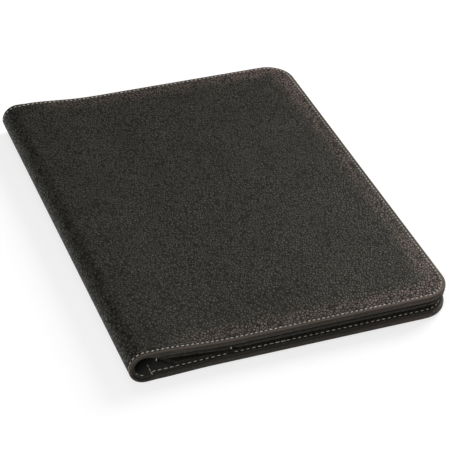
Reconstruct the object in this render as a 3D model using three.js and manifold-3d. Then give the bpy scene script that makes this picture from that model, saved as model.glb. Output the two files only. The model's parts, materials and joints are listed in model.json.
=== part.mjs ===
// A closed writing padfolio: two padded leather covers joined by a soft rounded spine, with a
// writing pad held in a pocket inside. Millimetres, +Z up. The origin is under the middle of the
// closed folio, on the surface it lies on. +X points from the spine to the fore-edge, and +Y from
// the tail to the head.
import * as THREE from "three";
import { mergeVertices } from "three/addons/utils/BufferGeometryUtils.js";
import Module from "manifold-3d";

const wasm = await Module();
wasm.setup();

// Writing pad
const PAD_WIDTH = 216;
const PAD_HEIGHT = 298;
const SHEET_STACK = 3.4;
const BACKING_CARD = 0.6;
const BINDING_TAPE = 0.3;
const BINDING_DEPTH = 18;

// Layers of a cover, from the outside in
const LEATHER = 1.2;
const CROWN = 1.2;
const CROWN_WIDTH = 22;
const PADDING_EDGE = 0.3;
const BOARD = 1.4;
const HEM = 0.9;
const HEM_WIDTH = 14;
const LINING = 0.6;
const POCKET_LEATHER = 0.8;
const CARD_STRIP = 0.8;

// Spine
const SPINE_LEATHER = 2.4;
const SPINE_LINING = 1.4;
const SPINE_RISE = 2.6;
const SLOPE_LENGTH = 60;
const CROWN_FADE_LENGTH = 42;

// Outline, seams and pockets
const CORNER_RADIUS = 22;
const RIM_RADIUS = 1.6;
const HEM_RADIUS = 1;
const INNER_RECESS = 1.4;
const SEAM_BAND = 2.6;
const POCKET_RAMP = 1.2;
const LINING_START = 5.6;
const POCKET_START = 6;
const PAD_POCKET_DEPTH = 258;
const THUMB_CUT_RADIUS = 16;
const THUMB_CUT_DEPTH = 11;
const CARD_STRIP_WIDTH = 57;
const CARD_SLOT_LENGTH = 46;
const CARD_SLOT_WIDTH = 1.6;
const CARD_SLOTS = 4;
const END_MARGIN = 16;
const LOOP_BAND = 1;
const LOOP_LENGTH = 22;

// Clearances
const LAYER_GAP = 0.2;
const SPARE_LENGTH = 1.5;
const BEND_GAP = 0.3;
const PAD_SIDE_GAP = 1.6;
const PAD_GUTTER_GAP = 0.8;
const PAD_UNDER_GAP = 0.3;
const PAD_OVER_GAP = 0.4;
const LOOP_GAP = 0.4;
const LOOP_POCKET_GAP = 0.4;

// Facets
const CORNER_STEPS = 7;
const ARC_STEP = Math.PI / 24;
const SLOPE_STEPS = 9;
const LOOP_STEPS = 32;

// Depths below the outer face of a cover, at the middle of the cover.
const paddingTop = LEATHER + LAYER_GAP;
const paddingBottom = paddingTop + CROWN + PADDING_EDGE;
const boardTop = paddingBottom + LAYER_GAP;
const boardBottom = boardTop + BOARD;
const hemTop = boardBottom + LAYER_GAP;
const hemBottom = hemTop + HEM;
const liningTop = hemBottom + LAYER_GAP;
const liningBottom = liningTop + LINING;
const pocketTop = liningBottom + LAYER_GAP;
const pocketRaise = BACKING_CARD + LAYER_GAP;
const pocketBottom = pocketTop + pocketRaise + POCKET_LEATHER;
const stripTop = pocketTop + POCKET_LEATHER + LAYER_GAP;
const stripBottom = stripTop + pocketRaise + CARD_STRIP;
const spineLiningTop = SPINE_LEATHER + LAYER_GAP;
const spineLiningBottom = spineLiningTop + SPINE_LINING;

// The closed folio's sizes follow from what it holds.
const padSheetsZ = pocketBottom + PAD_UNDER_GAP;
const padTopZ = padSheetsZ + SHEET_STACK + BINDING_TAPE;
const coverTopZ = padTopZ + PAD_OVER_GAP + stripBottom;
const spineRadius = (coverTopZ + SPINE_RISE) / 2;
const spineArc = (Math.PI / 2) * spineRadius;
const padStart = POCKET_START + SEAM_BAND + POCKET_RAMP + PAD_GUTTER_GAP;
const padEnd = padStart + PAD_WIDTH;
const innerEnd = padEnd + PAD_SIDE_GAP + POCKET_RAMP + SEAM_BAND;
const foreEdge = innerEnd + INNER_RECESS;
const halfHeight = PAD_HEIGHT / 2 + END_MARGIN;
const innerHalf = halfHeight - INNER_RECESS;
const closedWidth = foreEdge + spineRadius;
const spineX = spineRadius - closedWidth / 2;
const boardStart = LINING_START + SPINE_LINING + 6 * LAYER_GAP;
const shellStart = LINING_START + SPINE_LINING + LAYER_GAP;

// The two bend lines lie on the outer face of the spine, this far round from its middle. A cover's
// leather starts just past its line, as a distance across from where the cover meets the spine.
const BEND_ANGLE = Math.PI / 4;
const coverStart = BEND_ANGLE * spineRadius + BEND_GAP / 2 - spineArc;

const smooth = (t) => {
  const c = Math.min(Math.max(t, 0), 1);
  return c * c * (3 - 2 * c);
};

// Height of the front cover's outer face, a distance across from the spine. It is level to the
// board's edge, and comes down from there.
const fallen = (across) => smooth((across - boardStart) / SLOPE_LENGTH);
const frontHeight = (across) => coverTopZ + SPINE_RISE * (1 - fallen(across));

// How much of the padding's crown is there: none at the soft spine, all of it over the board.
const crownFade = (across) => smooth((across - boardStart) / CROWN_FADE_LENGTH);
const crownShare = (inset) => 1 - smooth(inset / CROWN_WIDTH);

// Takes a point of the flat pattern to its place in the closed folio. Across is the distance from
// the line where the cover meets the rounded spine, negative on the spine. Depth is measured in
// from the outer face. An unbent panel runs straight on there.
function fold(side, across, along, depth, unbent) {
  if (across >= 0 || unbent) {
    const z = side === "back" ? depth : frontHeight(across) - depth;
    return [spineX + across, along, z];
  }
  const angle = (spineArc + across) / spineRadius;
  const rise = (spineRadius - depth) * Math.sin(angle);
  const x = spineX - (spineRadius - depth) * Math.cos(angle);
  return [x, along, side === "back" ? spineRadius - rise : spineRadius + rise];
}

// Distances across at which a panel needs an edge, so that it follows the spine and the slope.
function bendStations(from, to, unbent) {
  const marks = [];
  const arcs = unbent ? 0 : Math.ceil(-from / spineRadius / ARC_STEP);
  for (let i = arcs; i > 0; i--) marks.push(-i * spineRadius * ARC_STEP);
  if (!unbent) marks.push(0);
  for (let i = 0; i <= SLOPE_STEPS; i++) marks.push(boardStart + (SLOPE_LENGTH * i) / SLOPE_STEPS);
  return marks.filter((mark) => mark > from + LAYER_GAP && mark < to - LAYER_GAP);
}

// The outline of a panel, drawn in by an inset, as rungs from its spine end to its fore-edge end:
// the distance across, and the low and high ends along.
function rungs(panel, inset, stations) {
  const start = panel.from + (panel.squareStart ? 0 : inset);
  const end = panel.to - (panel.squareEnd ? 0 : inset);
  const low = panel.low + inset;
  const high = panel.high - inset;
  const list = [];
  const corner = (edge, inward, radius, steps) => {
    const r = Math.max(radius - inset, LAYER_GAP);
    return steps.map((step) => {
      const angle = (step / CORNER_STEPS) * (Math.PI / 2);
      const back = r * (1 - Math.sin(angle));
      return [
        edge + inward * r * (1 - Math.cos(angle)),
        low + (panel.squareLow ? 0 : back),
        high - (panel.squareHigh ? 0 : back),
      ];
    });
  };
  const steps = Array.from({ length: CORNER_STEPS + 1 }, (_, i) => i);
  list.push([start, low, high]);
  for (const mark of stations) list.push([mark, low, high]);
  if (panel.cornerRadius) list.push(...corner(end, -1, panel.cornerRadius, steps.reverse()));
  else list.push([end, low, high]);
  return list;
}

// A closed solid whose edge has the given section all round a panel's outline. The section goes
// from the middle of the outer face, round the rim, to the middle of the inner face, as steps of
// [inset, depth, share of the crown].
function panelSolid(side, panel, section) {
  const deepest = Math.max(...section.map(([inset]) => inset));
  const reach = Math.max(deepest, panel.cornerRadius ?? 0) + LAYER_GAP;
  const first = panel.from + (panel.squareStart ? 0 : deepest);
  const stations = bendStations(first, panel.to - reach, panel.unbent);
  const points = [];
  let rungCount = 0;
  for (const [inset, depth, share = 0] of section) {
    const list = rungs(panel, inset, stations);
    rungCount = list.length;
    const at = (across, along) => {
      const sunk = depth + share * CROWN * crownFade(across);
      points.push(...fold(side, across, along, sunk, panel.unbent));
    };
    for (const [across, low] of list) at(across, low);
    for (const [across, , high] of list.slice().reverse()) at(across, high);
  }
  const loop = 2 * rungCount;
  const faces = [];
  const quad = (a, b, c, d) => faces.push(a, b, c, a, c, d);
  for (let ring = 0; ring + 1 < section.length; ring++) {
    for (let i = 0; i < loop; i++) {
      const j = (i + 1) % loop;
      quad(ring * loop + i, ring * loop + j, (ring + 1) * loop + j, (ring + 1) * loop + i);
    }
  }
  const last = (section.length - 1) * loop;
  for (let i = 0; i + 1 < rungCount; i++) {
    const across = loop - 1 - i;
    quad(across, across - 1, i + 1, i);
    quad(last + i, last + i + 1, last + across - 1, last + across);
  }
  return toSolid(points, faces, side);
}

// A panel whose section stops square at its start, and at its end where that is asked for. It is
// made too long and then cut, which leaves clean end faces.
function cutPanel(side, panel, section, cutEnd = false) {
  const spare = Math.max(...section.map(([inset]) => inset)) + SPARE_LENGTH;
  const to = panel.to + (cutEnd ? spare : 0);
  const long = { ...panel, from: panel.from - spare, to, unbent: true, squareStart: false };
  const past = 2 * closedWidth;
  const end = cutEnd ? spineX + panel.to : past;
  const keep = box([spineX + panel.from, -past, -past], [end, past, past]);
  return panelSolid(side, long, section).intersect(solidOf(keep));
}

// The two sides bend opposite ways, so one of them needs its faces turned round.
function toSolid(points, faces, side) {
  const turned = faces.slice();
  if (side === "front") {
    for (let i = 0; i < turned.length; i += 3) {
      [turned[i + 1], turned[i + 2]] = [turned[i + 2], turned[i + 1]];
    }
  }
  const geometry = new THREE.BufferGeometry();
  geometry.setAttribute("position", new THREE.Float32BufferAttribute(points, 3));
  geometry.setIndex(turned);
  return solidOf(geometry);
}

// A three.js geometry as a manifold solid.
function solidOf(geometry) {
  const bare = geometry.clone();
  bare.deleteAttribute("normal");
  bare.deleteAttribute("uv");
  const merged = mergeVertices(bare, 1e-4);
  return new wasm.Manifold(
    new wasm.Mesh({
      numProp: 3,
      vertProperties: merged.getAttribute("position").array,
      triVerts: Uint32Array.from(merged.index.array),
    }),
  );
}

// A manifold solid as a three.js geometry.
function geometryOf(solid) {
  const mesh = solid.getMesh();
  const geometry = new THREE.BufferGeometry();
  geometry.setAttribute("position", new THREE.BufferAttribute(mesh.vertProperties, 3));
  geometry.setIndex(new THREE.BufferAttribute(mesh.triVerts, 1));
  const flat = geometry.toNonIndexed();
  flat.computeVertexNormals();
  return flat;
}

// A box between two corners.
function box([x0, y0, z0], [x1, y1, z1]) {
  const geometry = new THREE.BoxGeometry(x1 - x0, y1 - y0, z1 - z0);
  geometry.translate((x0 + x1) / 2, (y0 + y1) / 2, (z0 + z1) / 2);
  return geometry;
}

// A shape drawn in the X-Z plane and drawn out along Y, centred on the folio's middle.
function acrossY(shape, length) {
  const geometry = new THREE.ExtrudeGeometry(shape, { depth: length, bevelEnabled: false });
  geometry.rotateX(Math.PI / 2);
  geometry.translate(0, length / 2, 0);
  return geometry;
}

// A flat strip that follows the spine, with square ends.
const plainSection = (top, bottom) => [
  [0, top],
  [0, bottom],
];

// A panel edge that is rounded on both faces.
const roundedSection = (top, bottom, radius) => {
  const r = Math.min(radius, (bottom - top) / 2 - LAYER_GAP / 10);
  const bevel = r * (1 - Math.SQRT1_2);
  return [
    [r, top],
    [bevel, top + bevel],
    [0, top + r],
    [0, bottom - r],
    [bevel, bottom - bevel],
    [r, bottom],
  ];
};

const cover = {
  from: boardStart,
  to: foreEdge,
  low: -halfHeight,
  high: halfHeight,
  cornerRadius: CORNER_RADIUS,
};

// The cover's leather: a crowned skin whose edge is turned round the board and hemmed inside. It
// runs on past the board as a thicker strap, round the first part of the spine.
function coverLeather(side) {
  const crownInsets = [1, 0.72, 0.46, 0.22].map((share) => share * CROWN_WIDTH);
  const skin = (depth) => crownInsets.map((inset) => [inset, depth, crownShare(inset)]);
  const bevel = RIM_RADIUS * (1 - Math.SQRT1_2);
  const hemBevel = HEM_RADIUS * (1 - Math.SQRT1_2);
  const section = [
    ...skin(0),
    [RIM_RADIUS, 0, 1],
    [bevel, bevel, 1],
    [0, RIM_RADIUS, 1],
    [0, hemBottom - HEM_RADIUS],
    [hemBevel, hemBottom - hemBevel],
    [HEM_RADIUS, hemBottom],
    [HEM_WIDTH, hemBottom],
    [HEM_WIDTH, hemTop],
    [LEATHER, hemTop],
    [LEATHER, LEATHER, 1],
    ...skin(LEATHER).reverse(),
  ];
  const shell = cutPanel(side, { ...cover, from: shellStart }, section);
  const strap = {
    ...cover,
    from: coverStart,
    to: shellStart + 2 * LAYER_GAP,
    squareStart: true,
    squareEnd: true,
    cornerRadius: 0,
  };
  return shell.add(panelSolid(side, strap, roundedSection(0, SPINE_LEATHER, HEM_RADIUS)));
}

// Foam that fills the crown between the skin and the board.
function coverPadding(side) {
  const edge = CROWN_WIDTH * 0.22;
  const insets = [1, 0.72, 0.46].map((share) => share * CROWN_WIDTH);
  const top = insets.map((inset) => [inset, paddingTop, crownShare(inset)]);
  const section = [...top, [edge, paddingTop, crownShare(edge)], [edge, paddingBottom]];
  return cutPanel(side, { ...cover, from: boardStart + LAYER_GAP }, section);
}

function coverBoard(side) {
  const edge = LEATHER + LAYER_GAP;
  const section = [
    [edge, boardTop],
    [edge, boardBottom],
  ];
  return panelSolid(side, { ...cover, squareStart: true }, section);
}

const inner = {
  from: LINING_START,
  to: innerEnd,
  low: -innerHalf,
  high: innerHalf,
  squareStart: true,
  cornerRadius: CORNER_RADIUS - INNER_RECESS,
};

// The lining lies over the hem, steps down the board's edge and runs on round the spine.
function coverLining(side) {
  const sheet = panelSolid(side, inner, plainSection(liningTop, liningBottom));
  const strap = { ...inner, squareEnd: true, cornerRadius: 0 };
  const riser = { ...strap, to: LINING_START + SPINE_LINING };
  const tongue = { ...strap, from: coverStart, to: LINING_START + LAYER_GAP };
  return sheet
    .add(panelSolid(side, riser, plainSection(spineLiningTop, liningBottom)))
    .add(panelSolid(side, tongue, plainSection(spineLiningTop, spineLiningBottom)));
}

// A pocket panel is sewn down round its edge, and stands up in the middle to leave room behind it.
function raisedSection(top, thickness) {
  const foot = SEAM_BAND;
  const brow = SEAM_BAND + POCKET_RAMP;
  return [
    [brow, top + pocketRaise],
    [foot, top],
    [0, top],
    [0, top + thickness],
    [foot, top + thickness],
    [brow, top + thickness + pocketRaise],
  ];
}

// A cylinder that stands on the tail-to-head line, for cutting a round notch in a pocket's edge.
function notch(x, y, radius) {
  const geometry = new THREE.CylinderGeometry(radius, radius, closedWidth, 4 * CORNER_STEPS);
  geometry.rotateX(Math.PI / 2);
  geometry.translate(x, y, 0);
  return solidOf(geometry);
}

// Holds the pad's backing card. Its edge towards the head is open, with a thumb cut in the middle.
function padPocket() {
  const open = -innerHalf + PAD_POCKET_DEPTH;
  const whole = { ...inner, from: POCKET_START, squareStart: false };
  const panel = panelSolid("back", whole, raisedSection(pocketTop, POCKET_LEATHER));
  const past = closedWidth * 2;
  const above = solidOf(box([-past, open, -past], [past, past, past]));
  const middle = spineX + (POCKET_START + innerEnd) / 2;
  const thumb = notch(middle, open + THUMB_CUT_RADIUS - THUMB_CUT_DEPTH, THUMB_CUT_RADIUS);
  return panel.subtract(above).subtract(thumb);
}

// A pocket over the whole inside of the front cover. Papers slide in from the gutter.
function documentPocket() {
  const whole = { ...inner, from: POCKET_START };
  return cutPanel("front", whole, raisedSection(pocketTop, POCKET_LEATHER));
}

// A strip along the gutter, with slots for business cards.
function cardStrip() {
  const end = POCKET_START + CARD_STRIP_WIDTH;
  const strip = { ...inner, from: POCKET_START, to: end, cornerRadius: 0 };
  let solid = cutPanel("front", strip, raisedSection(stripTop, CARD_STRIP), true);
  const middle = spineX + POCKET_START + CARD_STRIP_WIDTH / 2;
  const pitch = (2 * innerHalf) / CARD_SLOTS;
  const past = closedWidth * 2;
  for (let i = 0; i < CARD_SLOTS; i++) {
    const y = -innerHalf + (i + 0.75) * pitch;
    const low = [middle - CARD_SLOT_LENGTH / 2, y, -past];
    const high = [middle + CARD_SLOT_LENGTH / 2, y + CARD_SLOT_WIDTH, past];
    solid = solid.subtract(solidOf(box(low, high)));
  }
  return solid;
}

// The part of the spine between the two bend lines.
function spineStrip(section, half) {
  const panel = {
    from: -2 * spineArc - coverStart + BEND_GAP,
    to: coverStart - BEND_GAP,
    low: -half,
    high: half,
    squareStart: true,
    squareEnd: true,
  };
  return panelSolid("front", panel, section);
}

// An elastic loop for a pen, standing in the hollow of the spine, no higher than the gap between the
// covers' linings beside it. Its tail is sewn to the pad pocket's edge in the gutter.
function penLoop() {
  const floor = pocketTop + POCKET_LEATHER + LAYER_GAP;
  const ceiling = 2 * spineRadius - liningBottom - LOOP_GAP;
  const outer = (ceiling - floor) / 2;
  const x = spineX + POCKET_START - LOOP_POCKET_GAP - outer;
  const z = floor + outer;
  const tailEnd = spineX + POCKET_START + SEAM_BAND - LAYER_GAP;
  const shape = new THREE.Shape();
  shape.moveTo(tailEnd, floor);
  shape.lineTo(tailEnd, floor + LOOP_BAND);
  const join = Math.asin(1 - LOOP_BAND / outer);
  shape.lineTo(x + outer * Math.cos(join), floor + LOOP_BAND);
  shape.absarc(x, z, outer, -join, 1.5 * Math.PI, false);
  shape.closePath();
  const hole = new THREE.Path();
  hole.absarc(x, z, outer - LOOP_BAND, 0, 2 * Math.PI, true);
  shape.holes.push(hole);
  const flat = new THREE.Shape(shape.getPoints(LOOP_STEPS));
  flat.holes.push(new THREE.Path(hole.getPoints(LOOP_STEPS)));
  return solidOf(acrossY(flat, LOOP_LENGTH));
}

const padX = spineX + padStart;
const padY = PAD_HEIGHT / 2;
const backingZ = liningBottom + LAYER_GAP;

function padBacking() {
  return solidOf(box([padX, -padY, backingZ], [padX + PAD_WIDTH, padY, backingZ + BACKING_CARD]));
}

function padSheets() {
  const top = padSheetsZ + SHEET_STACK;
  return solidOf(box([padX, -padY, padSheetsZ], [padX + PAD_WIDTH, padY, top]));
}

// Glue and tape along the head of the pad: a filler that joins the sheets to the backing card,
// with the tape over it and over the edge of the top sheet.
function padBinding() {
  const gap = LAYER_GAP / 4;
  const inside = padY - BINDING_DEPTH;
  const end = padY + gap + BINDING_TAPE;
  const shape = new THREE.Shape();
  shape.moveTo(inside, padTopZ + gap);
  shape.lineTo(end, padTopZ + gap);
  shape.lineTo(end, backingZ + BACKING_CARD + gap);
  shape.lineTo(inside, backingZ + BACKING_CARD + gap);
  shape.lineTo(inside, padSheetsZ - gap);
  shape.lineTo(padY + gap, padSheetsZ - gap);
  shape.lineTo(padY + gap, padTopZ - BINDING_TAPE + gap);
  shape.lineTo(inside, padTopZ - BINDING_TAPE + gap);
  const geometry = new THREE.ExtrudeGeometry(shape, { depth: PAD_WIDTH, bevelEnabled: false });
  geometry.rotateX(Math.PI / 2);
  geometry.rotateZ(Math.PI / 2);
  geometry.translate(padX, 0, 0);
  return solidOf(geometry);
}

const finish = (color, roughness) => new THREE.MeshStandardMaterial({ color, roughness });
const materials = {
  leather: finish(0x2b2825, 0.5),
  lining: finish(0x1b1a19, 0.8),
  pocket: finish(0x262321, 0.55),
  elastic: finish(0x141414, 0.9),
  foam: finish(0x8c8c88, 0.95),
  board: finish(0x8a7d6c, 0.9),
  card: finish(0xb09a78, 0.9),
  paper: finish(0xf4f2ea, 0.85),
  tape: finish(0x3a3a3c, 0.7),
};

const padfolio = new THREE.Group();

function add(name, solid, material) {
  const mesh = new THREE.Mesh(geometryOf(solid), materials[material]);
  mesh.name = name;
  padfolio.add(mesh);
}

for (const side of ["back", "front"]) {
  add(side + "_cover_leather", coverLeather(side), "leather");
  add(side + "_padding", coverPadding(side), "foam");
  add(side + "_board", coverBoard(side), "board");
  add(side + "_lining", coverLining(side), "lining");
}
const spineSection = roundedSection(0, SPINE_LEATHER, HEM_RADIUS);
const spineLiningSection = plainSection(spineLiningTop, spineLiningBottom);
add("spine_leather", spineStrip(spineSection, halfHeight), "leather");
add("spine_lining", spineStrip(spineLiningSection, innerHalf), "lining");
add("pad_pocket", padPocket(), "pocket");
add("document_pocket", documentPocket(), "pocket");
add("card_strip", cardStrip(), "pocket");
add("pen_loop", penLoop(), "elastic");
add("pad_backing", padBacking(), "card");
add("pad_sheets", padSheets(), "paper");
add("pad_binding", padBinding(), "tape");

export default padfolio;
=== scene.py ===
import json
import math

import bmesh
import bpy
import numpy as np
from mathutils import Matrix, Vector


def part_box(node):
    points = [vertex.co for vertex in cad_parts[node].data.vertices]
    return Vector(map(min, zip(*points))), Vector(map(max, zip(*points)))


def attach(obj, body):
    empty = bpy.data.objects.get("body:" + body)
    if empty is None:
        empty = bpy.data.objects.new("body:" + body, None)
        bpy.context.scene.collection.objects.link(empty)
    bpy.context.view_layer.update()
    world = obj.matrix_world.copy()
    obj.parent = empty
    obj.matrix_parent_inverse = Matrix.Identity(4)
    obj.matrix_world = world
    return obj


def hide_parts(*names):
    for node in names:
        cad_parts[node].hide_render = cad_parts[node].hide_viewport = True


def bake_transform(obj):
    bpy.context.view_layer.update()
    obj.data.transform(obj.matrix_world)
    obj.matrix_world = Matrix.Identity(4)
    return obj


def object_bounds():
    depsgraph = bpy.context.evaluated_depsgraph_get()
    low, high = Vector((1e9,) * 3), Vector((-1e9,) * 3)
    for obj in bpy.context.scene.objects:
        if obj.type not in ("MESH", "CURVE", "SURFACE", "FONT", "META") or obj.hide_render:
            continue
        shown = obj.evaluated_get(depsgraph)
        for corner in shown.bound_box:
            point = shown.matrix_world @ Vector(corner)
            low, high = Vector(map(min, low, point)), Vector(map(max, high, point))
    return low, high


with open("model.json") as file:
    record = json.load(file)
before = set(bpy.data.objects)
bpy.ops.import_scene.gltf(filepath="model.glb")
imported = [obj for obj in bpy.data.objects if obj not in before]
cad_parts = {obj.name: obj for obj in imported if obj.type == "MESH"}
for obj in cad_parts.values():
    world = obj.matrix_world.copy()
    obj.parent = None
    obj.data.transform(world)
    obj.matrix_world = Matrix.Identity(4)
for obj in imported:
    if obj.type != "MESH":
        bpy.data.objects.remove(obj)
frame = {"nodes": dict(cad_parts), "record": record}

# A closed leather padfolio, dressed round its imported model. Metres, +Z up, +X from the spine to
# the fore-edge, +Y from the tail to the head. The spine is a half round between two covers.
# Distances across start where a cover meets it, and are negative on it. Depths go in from the
# outer face, and insets in from an edge.
CAD_LOW, CAD_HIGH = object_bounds()
MM = 0.001
RADIUS = CAD_HIGH.z / 2
HALF_TURN = math.pi * RADIUS
QUARTER_TURN = HALF_TURN / 2
SPINE_X = CAD_LOW.x + RADIUS
FORE_EDGE = CAD_HIGH.x - SPINE_X
HALF_HEIGHT = CAD_HIGH.y
MOUNTS = {mount["name"]: mount for mount in frame["record"]["mounts"]}
COVER_TOP = MOUNTS["front_face"]["pos_m"][2]
SPINE_RISE = CAD_HIGH.z - COVER_TOP
BOARD_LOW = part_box("back_board")[0]
FOAM_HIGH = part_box("back_padding")[1]
LINING_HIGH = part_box("back_lining")[1]
POCKET_LOW, POCKET_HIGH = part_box("pad_pocket")
STRIP_LOW, STRIP_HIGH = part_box("card_strip")
LOOP_LOW, LOOP_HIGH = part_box("pen_loop")
SHEETS_LOW, SHEETS_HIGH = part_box("pad_sheets")

# Leather and its turned edge, which grows from the spine's thickness to its own over a ramp. The
# layers are pressed thinner along the gutter.
LEATHER = 1.2 * MM
HEM = 0.9 * MM
HEM_THINNEST = 0.4 * MM
HEM_WIDTH = 14 * MM
HEM_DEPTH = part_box("back_cover_leather")[1].z
HEM_RADIUS = 1 * MM
RIM_RADIUS = 1.6 * MM
SPINE_LEATHER = 2.4 * MM
SPINE_LINING = 1.4 * MM
LAYER_GAP = 0.2 * MM
PRESSED_GAP = 0.05 * MM
LINING = 0.6 * MM
LINING_SWELL = 0.8 * MM
LINING_CLEARANCE = 0.05 * MM
POCKET_LEATHER = 0.8 * MM
PRESSED_SHARE = 0.7
RAMP_START = 1.5 * MM
RAMP_REACH = 6.5 * MM
GUTTER = 9 * MM
GUTTER_HEM = 5.1 * MM
GUTTER_LINING = 5.5 * MM
GUTTER_REACH = 66 * MM
CORNER = 22 * MM
RECESS = HALF_HEIGHT - LINING_HIGH.y

# Padding, and the slow unevenness of the leather over it, in waves: radians per metre across and
# along, phase and share
CROWN = 1.2 * MM
CROWN_WIDTH = 22 * MM
CROWN_FADE = 42 * MM
SLOPE = 60 * MM
BOARD_START = BOARD_LOW.x - SPINE_X
SOFTNESS = 0.25 * MM
SOFT_REACH = 30 * MM
SOFT_EDGE = 2 * MM
SOFT_EDGE_REACH = 20 * MM
SOFT_WAVES = ((61, 23, 0.7, 1), (37, -71, 2.1, 1), (113, 97, 4.2, 0.5), (151, -41, 5.3, 0.5))
SOFT_RANGE = 6.4

# Pockets: sewn down round their edges, and raised inside them to a level of their own
POCKET_START = POCKET_LOW.x - SPINE_X
PAD_POCKET_START = 3.2 * MM
PANEL_START = {"front": POCKET_START, "back": PAD_POCKET_START}
SEAM_BAND = 2.6 * MM
POCKET_RAMP = 1.2 * MM
POCKET_ROUND = 0.25 * MM
POCKET_LEVEL = POCKET_HIGH.z - POCKET_LEATHER
STRIP_LEVEL = POCKET_HIGH.z + LAYER_GAP
STRIP_WIDTH = STRIP_HIGH.x - STRIP_LOW.x
STRIP_END = POCKET_START + STRIP_WIDTH
# How far the front's panels reach past its lining, and how much thicker their turned borders are
OVERHANG = 0.8 * MM
ROLL = 1.8 * MM
STRIP_ROLL = 0.9 * MM
ROLL_START = STRIP_END + 0.5 * MM
ROLL_REACH = 4 * MM
ROLL_ROUND = 0.2
# The thumb cut draws the pocket's mesh down with it, within a reach of the edge.
THUMB_RADIUS = 16 * MM
THUMB_DEPTH = 11 * MM
THUMB_REACH = 60 * MM
THUMB_STEPS = 15
SLOTS = 4
SLOT_LENGTH = 46 * MM
SLOT_WIDTH = 1.6 * MM
SLOT_PLACE = 0.75
LOOP_BAND = 1 * MM
LOOP_ROUND = 0.4 * MM
LOOP_RIBS = 9
RIB_HEIGHT = 0.12 * MM
PAGES = 26
PAGE_SLIP = 0.35 * MM
PAGE_FILL = 0.94

# Thread: a stitch stands out, and tapers and dips at its ends, by shares of its thickness.
THREAD = 0.38 * MM
TAPER, STAND, DIP = 0.55, 0.25, 1.4
LEAN_SPREAD, LENGTH_SPREAD, THREAD_SPREAD = 0.03, 0.03, 0.04
STITCH_INSET = 3.1 * MM
STITCH_PITCH = 3.6 * MM
STITCH_LENGTH = 2.5 * MM
STITCH_SLANT = 0.12
GROOVE = 0.28 * MM
GROOVE_WIDTH = 1.1 * MM
INNER_GROOVE = 0.6

# Inner seams. The stitches lie pressed into the lining where the pad slides over them.
INNER_INSET = STITCH_INSET - RECESS
INNER_PITCH = 4.3 * MM
SPINE_PITCH = 1.3 * INNER_PITCH
INNER_LOOKS = {"length": 3 * MM, "thread": 0.32 * MM, "slant": 0.05, "up": 1}
PRESSED = 0.33 * MM
PANEL_SEAM = 1.3 * MM
SEAM_END = 0.6 * MM
START_CLEARANCE = 1.6 * MM
STRIP_CLEARANCE = 1.2 * MM
TACK_LENGTH = 2.2 * MM
BAR_TACK = 12 * MM
OVERSEWN = (82 * MM, 105 * MM)

# Wear and painted sheen on the crown's shoulder, a painted highlight on the rim, by their insets
# and widths, and what is drawn smooth
SHOULDER, SHOULDER_WIDTH = 9 * MM, 6 * MM
# A painted highlight line along the rim: its strength, inset and width
PAINTED_RIM_HIGHLIGHT, PAINTED_HIGHLIGHT_INSET, PAINTED_HIGHLIGHT_WIDTH = 0.8, 0.7 * MM, 0.5 * MM
# The corners get more wear and more painted sheen: how much more, and over what reach
CORNER_WEAR_AND_SHEEN, CORNER_SHEEN_REACH = 2, 40 * MM
DRAWN, DRAWN_REACH = 2 * MM, 1.4 * MM

# Mesh steps
CELL = 2.4 * MM
POCKET_CELL = 0.012
ARC_STEPS = 12
TURN_STEPS = 22
LINING_STEPS = 60
THREAD_STEPS = 8
LOOP_STEPS = 48
TAIL_STEPS = 11
STRIP_CORE = 5 * MM
INNER_CORE = 20.6 * MM
CREASE = 35
MERGED = 2e-6
DEGENERATE = 1e-7


def in_mm(*values):
    return [value * MM for value in values]


def rise(value, start, reach):
    """Goes smoothly from 0 at the start to 1 a reach past it."""
    t = np.clip((value - start) / reach, 0, 1)
    return t * t * (3 - 2 * t)


def bell(distance, width):
    return np.exp(-((distance / width) ** 2))


def unit(vector):
    return vector / np.linalg.norm(vector)


def front_height(across):
    """Height of the front cover's outer face, which slopes down from the spine."""
    return COVER_TOP + SPINE_RISE * (1 - rise(across, BOARD_START, SLOPE))


def place(side, across, along, depth):
    """Points of the closed folio. On the front side a negative distance across runs on round the
    spine, down to the back cover."""
    across, along, depth = np.broadcast_arrays(across, along, depth)
    angle = (QUARTER_TURN + across) / RADIUS
    reach = RADIUS - depth
    flat_z = depth if side == "back" else front_height(across) - depth
    x = np.where(across < 0, SPINE_X - reach * np.cos(angle), SPINE_X + across)
    z = np.where(across < 0, RADIUS + reach * np.sin(angle), flat_z)
    return np.stack([x, along, z], -1)


def laid_flat(side, across, along):
    """The same points on the leather before it was folded, for the grain."""
    across, along = np.broadcast_arrays(across, along)
    return np.stack([-HALF_TURN - across if side == "back" else across, along], -1)


# Depths of the layers


def ramp(across):
    return rise(across, RAMP_START, RAMP_REACH)


def past_gutter(across):
    return rise(across, GUTTER, GUTTER_REACH)


def crown_fade(across):
    return rise(across, BOARD_START, CROWN_FADE)


def round_over(inset, radius):
    """How far a rounded edge falls away, a distance in from it."""
    left = np.maximum(radius - inset, 0)
    return radius - np.sqrt(np.maximum(radius**2 - left**2, 0))


def groove(inset):
    """How deep the seam draws the leather in."""
    return GROOVE * bell(inset - STITCH_INSET, GROOVE_WIDTH)


def softness(side, across, along):
    """Slow unevenness of leather over foam, from 0 to 1."""
    u = laid_flat(side, across, along)[..., 0]
    waves = sum(share * np.sin(u * a + along * b + phase) for a, b, phase, share in SOFT_WAVES)
    return 0.5 + waves / SOFT_RANGE


def outer_face(side):
    def depth(across, along, inset):
        sunk = CROWN * (1 - rise(inset, 0, CROWN_WIDTH)) * crown_fade(across)
        rim = HEM_RADIUS + (RIM_RADIUS - HEM_RADIUS) * ramp(across)
        soft = SOFTNESS * softness(side, across, along) * rise(across, 0, SOFT_REACH)
        edge_free = rise(inset, SOFT_EDGE, SOFT_EDGE_REACH)
        return sunk + groove(inset) + soft * edge_free + round_over(inset, rim)

    return depth


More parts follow.
